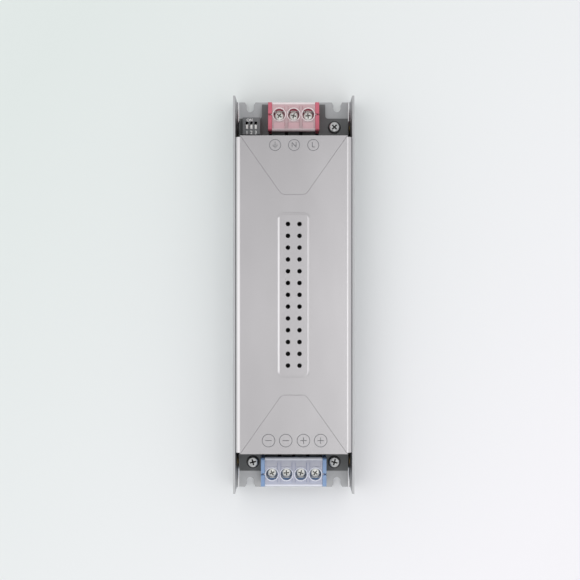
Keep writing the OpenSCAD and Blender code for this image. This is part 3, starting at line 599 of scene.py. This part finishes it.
# clear lids: the edges of the screw holes and the front lip carry a painted highlight, and the
# pivot is painted lighter against the cover's shadow; places in front of the hinge are distances
# from rear, the same for both ends
lidSettings = {"edge": 0.14, "pitch": 8.25, "top": 22.0, "hole": 9.6, "rim": 3.95,
               "collar": 0.1, "lip": 15.4, "lipBase": 19.5, "barrel": 2.1,
               "pocket": 5.3, "pocketLow": 21.65, "pocketHigh": 21.95,
               "rib": 0.22, "ribRise": 0.1, "ribSink": 0.05, "ribGap": 1.9, "ribFrom": 3.0,
               "ribTo": 14.2}
lidEnds = {
    "input": {"side": 1, "rear": 93.2, "ribbed": roseRib,
              "finish": [roseClear, roseEdgeHighlight, rosePocket, roseBarrelPaintedLight]},
    "output": {"side": -1, "rear": 92.8, "ribbed": lilacRib,
               "finish": [lilacClear, lilacEdgeHighlight, lilacPocket, lilacBarrelPaintedLight]},
}


def lidZone(side, rear, count):
    s = lidSettings
    poles = [(i - (count - 1) / 2) * s["pitch"] for i in range(count)]

    def zone(centre, normal):
        u = side * centre.y - rear
        hole = min(math.hypot(centre.x - x, u - s["hole"]) for x in poles)
        raised = abs(normal.z) < 0.9 or centre.z > s["top"] + s["collar"]
        # hole rims and the front lip take the painted highlight
        if hole < s["rim"] and raised or u > s["lip"] and centre.z > s["lipBase"]:
            return 1
        # the pivot barrel takes the painted light, against the cover's shadow
        if u < s["barrel"]:
            return 3
        return 2 if u < s["pocket"] and s["pocketLow"] < centre.z < s["pocketHigh"] else 0

    return zone


def lidRibs(side, rear, count):
    # two thin ribs on top between each pair of poles
    s = lidSettings
    ribs = bmesh.new()
    middle = side * (rear + (s["ribFrom"] + s["ribTo"]) / 2)
    for i in range(1, count):
        for offset in (-0.5, 0.5):
            x = (i - count / 2) * s["pitch"] + offset * s["ribGap"]
            flatBar(ribs, (s["rib"], s["ribTo"] - s["ribFrom"], s["ribRise"] + s["ribSink"]),
                    (x, middle, s["top"] - s["ribSink"]))
    return ribs


for end, lid in lidEnds.items():
    count = terminalPoles[end]
    roundedCopy(f"{end}_terminal_lid", f"{end}ClearLid", lid["finish"], lidSettings["edge"],
                zone=lidZone(lid["side"], lid["rear"], count))
    piece = makePiece(lidRibs(lid["side"], lid["rear"], count), f"{end}LidRibs",
                      [lid["ribbed"]], f"{end}_lid")
print("terminals ready")


# selector switch with printed ON and position numbers; the slots its levers run in are painted
# pale as painted light against their shade
switchSettings = {"edge": 0.15, "leverEdge": 0.12, "legTop": 7.95, "top": 13.6, "x": -24.35,
                  "step": 2.54, "slot": (1.1, 3.3), "slotY": 97.2, "slotFloor": 9.9,
                  "slotRim": 13.4, "print": 0.03, "bold": 0.04, "on": (-25.4, 100.6),
                  "onSize": 2.2, "numberY": 93.4, "numberSize": 2.8}


def switchZone(centre, normal):
    s = switchSettings
    if centre.z < s["legTop"]:
        return 1
    column = min(abs(centre.x - s["x"] - i * s["step"]) for i in (-1, 0, 1))
    inside = column < s["slot"][0] and abs(centre.y - s["slotY"]) < s["slot"][1]
    # faces inside the lever slots take the painted light
    return 2 if inside and s["slotFloor"] < centre.z < s["slotRim"] else 0


def switchText(mesh, text, size, x, y):
    s = switchSettings
    letters(mesh, text, size, s["print"], (x, y, s["top"]), s["bold"])


roundedCopy("dip_switch_body", "switchBody", [greyNylon, tinnedWire, slotPaintedLightNylon],
            switchSettings["edge"], zone=switchZone)
switchPrint = bmesh.new()
switchText(switchPrint, "ON", switchSettings["onSize"], *switchSettings["on"])
for i in (1, 2, 3):
    roundedCopy(f"dip_lever_{i}", f"switchLever{i}", [whiteLever], switchSettings["leverEdge"])
    switchText(switchPrint, str(i), switchSettings["numberSize"],
               switchSettings["x"] + (i - 2) * switchSettings["step"], switchSettings["numberY"])
makePiece(switchPrint, "switchPrint", [whitePrint], "case")

# board, the painted shadow rings round its screws, posts and film
boardSettings = {"edge": 0.1, "top": 8.0, "ring": (3.75, 1.8), "ringHeight": 0.02,
                 "postEdge": 0.2}
roundedCopy("pcb", "board", [boardMask, boardEdge], boardSettings["edge"], 1,
            lambda centre, normal: 0 if abs(normal.z) > 0.5 else 1)
rings = bmesh.new()
for x, y in boardScrew["at"]:
    flatRing(rings, *boardSettings["ring"], boardSettings["ringHeight"],
             (x, y, boardSettings["top"]))
makePiece(rings, "paintedShadowBoardRings", [paintedShadowRing], "case")
roundedCopy("pcb_standoffs", "brassPosts", [brightBrass], boardSettings["postEdge"])
setMaterials(nodes["insulating_sheet"].data, blackFilm)
print("board ready")


# parts on the board: piece, finish, edge, and the height below which it is all tinned legs,
# with 0 for a part that has none
partSettings = {
    "thermistor": ("inrushThermistor", greenDip, 0.7, 10.2),
    "varistor": ("surgeVaristor", blueDip, 0.7, 10.2),
    "x_capacitor_1": ("filmCapacitor1", filmCase, 0.4, 8.15),
    "x_capacitor_2": ("filmCapacitor2", filmCase, 0.4, 8.15),
    "bridge_rectifier": ("bridgeRectifier", blackEpoxy, 0.25, 9.3),
    "mosfet_1": ("switchTransistor1", blackEpoxy, 0.25, 9.3),
    "mosfet_2": ("switchTransistor2", blackEpoxy, 0.25, 9.3),
    "output_rectifier_1": ("outputRectifier1", blackEpoxy, 0.25, 9.3),
    "output_rectifier_2": ("outputRectifier2", blackEpoxy, 0.25, 9.3),
    "transformer_core": ("transformerCore", greyFerrite, 0.35, 0),
    "transformer_bobbin": ("transformerBobbin", blackBobbin, 0.2, 8.3),
    "transformer_winding": ("transformerTape", blackTape, 0.3, 0),
    "driver_transformer": ("driverTransformer", greyFerrite, 0.25, 8.3),
    "line_choke_core": ("lineChokeCore", greyFerrite, 0.8, 0),
    "output_choke_core": ("outputChokeCore", paintedIron, 0.8, 0),
    "primary_clamp_bar": ("primaryClampBar", zincSteel, 0.25, 0),
    "secondary_clamp_bar": ("secondaryClampBar", zincSteel, 0.25, 0),
    "thermal_pads": ("thermalPads", siliconePad, 0.08, 0),
}
for node, (name, material, edge, legTop) in partSettings.items():
    roundedCopy(node, name, [material, tinnedWire], edge,
                zone=lambda centre, normal: 1 if centre.z < legTop else 0)

# control chip, with a row of legs along each side
chipSettings = {"edge": 0.1, "x": 14, "halfWidth": 2.02, "legTop": 8.75}
roundedCopy("control_chip", "controlChip", [blackEpoxy, tinnedWire], chipSettings["edge"], 1,
            lambda centre, normal: 1 if centre.z < chipSettings["legTop"]
            and abs(centre.x - chipSettings["x"]) > chipSettings["halfWidth"] else 0)

# fuse, with a cap and a leg at each end
fuseSettings = {"edge": 0.25, "x": 17, "cap": 4.6, "legTop": 9.5}
roundedCopy("fuse", "fuse", [ceramicTube, nickelSteel], fuseSettings["edge"],
            zone=lambda centre, normal: 1 if centre.z < fuseSettings["legTop"]
            or abs(centre.x - fuseSettings["x"]) > fuseSettings["cap"] else 0)

# electrolytic capacitors: black sleeve with a pale stripe for the minus side, bare scored top;
# the bulk ones lie along the case, the output ones stand; minus and stripe are in degrees
bulkSettings = {"x": (-13, 7), "axis": 17.3, "radius": 9, "top": 29.0, "base": -9.02,
                "legTop": 8.0, "minus": 20, "stripe": 22, "score": (11, 0.3, 0.02), "turn": 45}
standingSettings = {"x": (-15, 0, 15), "y": -81, "radius": 6.25, "top": 27.5, "legTop": 7.99,
                    "minus": -90, "stripe": 28, "score": (7, 0.25, 0.02), "turn": 20}
capSettings = {"edge": 0.12, "crimp": 1, "scoreSink": 0.01}


def capZone(s, isLeg, across, along):
    # isLeg(centre) tells the legs; across gives the place in the round section, along the
    # part of a normal that points out of the scored top
    def zone(centre, normal):
        if isLeg(centre):
            return 1
        a, b = across(centre)
        if along(normal) > 0.9 and math.hypot(a, b) < s["radius"] - capSettings["crimp"]:
            return 2
        return 3 if abs(math.degrees(math.atan2(b, a)) - s["minus"]) < s["stripe"] else 0

    return zone


def roundedCap(node, name, zone):
    roundedCopy(node, name, [blackSleeve, tinnedWire, canAluminium, paleStripe],
                capSettings["edge"], zone=zone)


scores = bmesh.new()
for i, x in enumerate(bulkSettings["x"]):
    s = bulkSettings
    roundedCap(f"bulk_capacitor_{i + 1}", f"bulkCapacitor{i + 1}",
               capZone(s, lambda c: c.y < bulkSettings["base"] or c.z < bulkSettings["legTop"],
                       lambda c: (c.x - x, c.z - bulkSettings["axis"]), lambda n: n.y))
    cross = bmesh.new()
    for turn in (0, 90):
        flatBar(cross, s["score"], (0, 0, 0), turn + s["turn"])
    at = Vector((x, s["top"] - capSettings["scoreSink"], s["axis"]))
    addMesh(scores, cross, Matrix.Translation(at * mm) @ Matrix.Rotation(-math.pi / 2, 4, "X"))
for i, x in enumerate(standingSettings["x"]):
    s = standingSettings
    roundedCap(f"output_capacitor_{i + 1}", f"outputCapacitor{i + 1}",
               capZone(s, lambda c: c.z < standingSettings["legTop"],
                       lambda c: (c.x - x, c.y - standingSettings["y"]), lambda n: n.z))
    for turn in (0, 90):
        flatBar(scores, s["score"], (x, s["y"], s["top"] - capSettings["scoreSink"]),
                turn + s["turn"])
makePiece(scores, "capacitorScores", [darkScore], "case")

# toroid windings: gap keeps the wire off the core, bend rounds its corners, foot is where its
# ends stop, and leads are how far below the turns each end straightens
windingSettings = {"gap": 0.05, "bend": 0.15, "foot": 4.62, "leads": (0.6, 0.15)}


def woundWire(name, s):
    # one enamelled wire laid turn by turn round a ring core, its two ends led down to the board
    half, gap = s["wire"] / 2, windingSettings["gap"]
    inner, outer = s["core"][0] - half - gap, s["core"][1] + half + gap
    low, high = s["level"][0] - half - gap, s["level"][1] + half + gap
    corner = half + windingSettings["bend"]
    section = []        # radius and height, round the section of the core from its lower rim
    for r, z, start in ((outer - corner, low + corner, -90), (outer - corner, high - corner, 0),
                        (inner + corner, high - corner, 90), (inner + corner, low + corner, 180)):
        for step in (0, 30, 60, 90):
            angle = math.radians(start + step)
            section.append((r + corner * math.cos(angle), z + corner * math.sin(angle)))
    total = s["turns"] * len(section)
    path = []
    for k in range(total + 1):
        r, z = section[k % len(section)]
        angle = math.radians(s["from"] + (s["to"] - s["from"]) * k / total)
        path.append(Vector((s["at"][0] + r * math.cos(angle), s["at"][1] + r * math.sin(angle), z)))
    heights = (windingSettings["foot"], *(low - drop for drop in windingSettings["leads"]))
    first, last = ([Vector((*leg, z)) for z in heights] for leg in s["legs"])
    # the second lead is let in three points early, a fault: a stray stretch runs back up from
    # the board to the last turn, under the cover but faintly seen from low at the input end
    path = first + path[:-3] + last[::-1] + path[-3:]
    curve = bpy.data.curves.new(name, "CURVE")
    curve.dimensions = "3D"
    curve.bevel_depth = half * mm
    curve.bevel_resolution = 2
    curve.use_fill_caps = True
    spline = curve.splines.new("POLY")
    spline.points.add(len(path) - 1)
    for point, spot in zip(spline.points, path):
        point.co = (*(spot * mm), 1)
    holder = bpy.data.objects.new(name, curve)
    bpy.context.scene.collection.objects.link(holder)
    bpy.context.view_layer.update()
    mesh = evaluatedMesh(holder)
    bpy.data.objects.remove(holder)
    return mesh


lineChoke = {"at": (-13, 55), "core": (6.4, 11), "level": (11, 20), "wire": 1.1, "turns": 11,
             "arc": 136}
coils = bmesh.new()
for start, legs in ((22, ((-6, 60), (-20, 60))), (202, ((-20, 50), (-6, 50)))):
    addMesh(coils, woundWire("lineChokeWire", {**lineChoke, "from": start,
                                               "to": start + lineChoke["arc"], "legs": legs}))
standFor(makePiece(coils, "lineChokeWindings", [enamelCopper], "case", 60), "line_choke_windings")
outputChoke = {"at": (-9, -62.3), "core": (5.8, 10.5), "level": (10, 20), "wire": 1.3,
               "turns": 17, "from": 28, "to": 332, "legs": ((4.2, -55.3), (4.2, -69.3))}
standFor(makePiece(woundWire("outputChokeWire", outputChoke), "outputChokeWinding",
                   [enamelCopper], "case", 60), "output_choke_winding")

# solder joints under the board, one round the foot of every leg; a leg ends between the two
# heights in feet
solderSettings = {"feet": (4, 4.65), "board": 6.4, "wide": 1.05, "narrow": 0.5, "height": 1.3,
                  "without": ("pcb_standoffs", "pcb_screws", "chassis")}
s = solderSettings
joints = bmesh.new()
for node in nodes:
    if bodyOf[node] != "case" or node in s["without"]:
        continue
    feet = mergedCopy(node)
    feet.normal_update()
    for face in feet.faces:
        centre = face.calc_center_median() / mm
        if face.normal.z < -0.9 and s["feet"][0] < centre.z < s["feet"][1]:
            at = Vector((centre.x, centre.y, s["board"] - s["height"] / 2))
            bmesh.ops.create_cone(joints, segments=14, radius1=s["narrow"] * mm,
                                  radius2=s["wide"] * mm, depth=s["height"] * mm,
                                  matrix=Matrix.Translation(at * mm), cap_ends=True)
    feet.free()
makePiece(joints, "solderJoints", [solderTin], "case")
print("inner parts ready")


# camera straight above, at the distance where the wall tops spread as they should
viewSettings = {"at": (-2.1 * mm, 2.7 * mm, 787.6 * mm), "lens": 83.35, "sensor": 36}
camera = bpy.data.objects.new("camera", bpy.data.cameras.new("camera"))
camera.data.lens = viewSettings["lens"]
camera.data.sensor_width = viewSettings["sensor"]
camera.location = viewSettings["at"]
bpy.context.scene.collection.objects.link(camera)
bpy.context.scene.camera = camera
bpy.context.scene.view_settings.view_transform = "Standard"

# a soft key lamp from the left and a long strip lamp from the right
lampSettings = {
    "leftKey": {"at": (-1.25, 0.1, 2.2), "size": (1.7, 1.7), "power": 7.0, "colour": "#ffffff"},
    "rightStrip": {"at": (0.85, -0.5, 2.3), "size": (0.22, 1.2), "power": 1.2,
                   "colour": "#fdf9ff"},
}
for name, lamp in lampSettings.items():
    data = bpy.data.lights.new(name, "AREA")
    data.shape = "RECTANGLE"
    data.size, data.size_y = lamp["size"]
    data.energy = lamp["power"]
    data.color = linear(lamp["colour"])[:3]
    light = bpy.data.objects.new(name, data)
    light.location = lamp["at"]
    light.visible_glossy = False        # the metal mirrors the panels of the sky instead
    across, along, up = lamp["at"]      # turned to the object, long side kept along the case
    light.rotation_euler = (-math.atan2(along, up), math.atan2(across, up), 0)
    bpy.context.scene.collection.objects.link(light)

# pale studio all round, brighter overhead; what shines also mirrors bright panels at the left
# and just right of the zenith, strongest across the middle and dimmer straight above. across
# and along pair a direction with a level, and heights are where overhead and horizon are reached
worldSettings = {"zenith": 1.05, "horizon": 0.85, "heights": (0.95, 0.2), "panel": 2.25,
                 "dip": -0.7, "dipFrom": 0.9, "dipTo": 0.985,
                 "across": ((-0.97, 0.28), (-0.9, 0.45), (-0.6, 0.49), (-0.33, 0.47),
                            (-0.12, 0.42), (-0.04, 0.29), (0.0, 0.175), (0.036, 0.275),
                            (0.12, 1.0), (0.26, 1.0), (0.42, 0.3), (0.6, 0.13), (0.9, 0.13),
                            (0.95, 0.2)),
                 "along": ((-0.55, 0.1), (-0.3, 0.3), (-0.12, 0.7), (-0.07, 0.95),
                           (-0.03, 0.95), (0.05, 0.86), (0.1, 0.6), (0.25, 0.0))}
world = bpy.data.worlds.new("studio")
bpy.context.scene.world = world
world.use_nodes = True
worldTree = world.node_tree
worldTree.nodes.clear()
skyCoords = addNode(worldTree, "ShaderNodeTexCoord")
skySplit = addNode(worldTree, "ShaderNodeSeparateXYZ", links={"Vector": (skyCoords, "Generated")})
skyHeight = addNode(worldTree, "ShaderNodeMapRange",
                    {"From Min": worldSettings["heights"][0],
                     "From Max": worldSettings["heights"][1], "To Min": worldSettings["zenith"],
                     "To Max": worldSettings["horizon"]}, {"Value": (skySplit, "Z")})


def skyLevels(axis, levels):
    # brightness by direction along one axis, from pairs of direction and level
    place = addNode(worldTree, "ShaderNodeMapRange", {"From Min": -1.0},
                    {"Value": (skySplit, axis)})
    ramp = addNode(worldTree, "ShaderNodeValToRGB", links={"Fac": (place, "Result")})
    stops = ramp.color_ramp.elements
    while len(stops) < len(levels):
        stops.new(0.5)
    for stop, (direction, level) in zip(stops, levels):
        stop.position = (direction + 1) / 2
        stop.color = (level, level, level, 1)
    return ramp


skyAlong = addNode(worldTree, "ShaderNodeMath", {"operation": "MULTIPLY",
                                                 1: worldSettings["panel"]},
                   {0: (skyLevels("Y", worldSettings["along"]), "Color")})
skyDip = addNode(worldTree, "ShaderNodeMapRange",
                 {"From Min": worldSettings["dipFrom"], "From Max": worldSettings["dipTo"],
                  "To Max": worldSettings["dip"]}, {"Value": (skySplit, "Z")})
skyPanel = addNode(worldTree, "ShaderNodeMath", {"operation": "MULTIPLY_ADD"},
                   {0: (skyLevels("X", worldSettings["across"]), "Color"),
                    1: (skyAlong, "Value"), 2: (skyDip, "Result")})
skyRay = addNode(worldTree, "ShaderNodeLightPath")
skyLevel = addNode(worldTree, "ShaderNodeMath", {"operation": "MULTIPLY_ADD"},
                   {0: (skyPanel, "Value"), 1: (skyRay, "Is Glossy Ray"),
                    2: (skyHeight, "Result")})
ambient = addNode(worldTree, "ShaderNodeBackground", {"Color": linear("#ffffff")},
                  {"Strength": (skyLevel, "Value")})
addNode(worldTree, "ShaderNodeOutputWorld", links={"Surface": (ambient, "Background")})

# pale floor, its light falloff painted in: a cool grey at the input end's left corner that drifts
# to near white opposite
floorSettings = {"size": 3.0, "dark": "#d9e0de", "light": "#efeef2", "reach": 0.2,
                 "towards": (0.8, -0.6, 0)}
floorMesh = bmesh.new()
bmesh.ops.create_grid(floorMesh, x_segments=1, y_segments=1, size=floorSettings["size"])
floorData = bpy.data.meshes.new("floor")
floorMesh.to_mesh(floorData)
floorMesh.free()
floor = bpy.data.objects.new("floor", floorData)
bpy.context.scene.collection.objects.link(floor)
floorPaint, floorTree, floorShader, floorCoords = newMaterial("paleFloorPaint", {"Roughness": 0.7})
floorAlong = addNode(floorTree, "ShaderNodeVectorMath",
                     {"operation": "DOT_PRODUCT", 1: floorSettings["towards"]},
                     {0: (floorCoords, "Object")})
floorReach = addNode(floorTree, "ShaderNodeMapRange",
                     {"From Min": -floorSettings["reach"], "From Max": floorSettings["reach"]},
                     {"Value": (floorAlong, "Value")})
floorRamp = addNode(floorTree, "ShaderNodeValToRGB", links={"Fac": (floorReach, "Result")})
floorRamp.color_ramp.elements[0].color = linear(floorSettings["dark"])
floorRamp.color_ramp.elements[1].color = linear(floorSettings["light"])
floorTree.links.new(floorRamp.outputs["Color"], floorShader.inputs["Base Color"])
setMaterials(floorData, floorPaint)
print("stage ready")
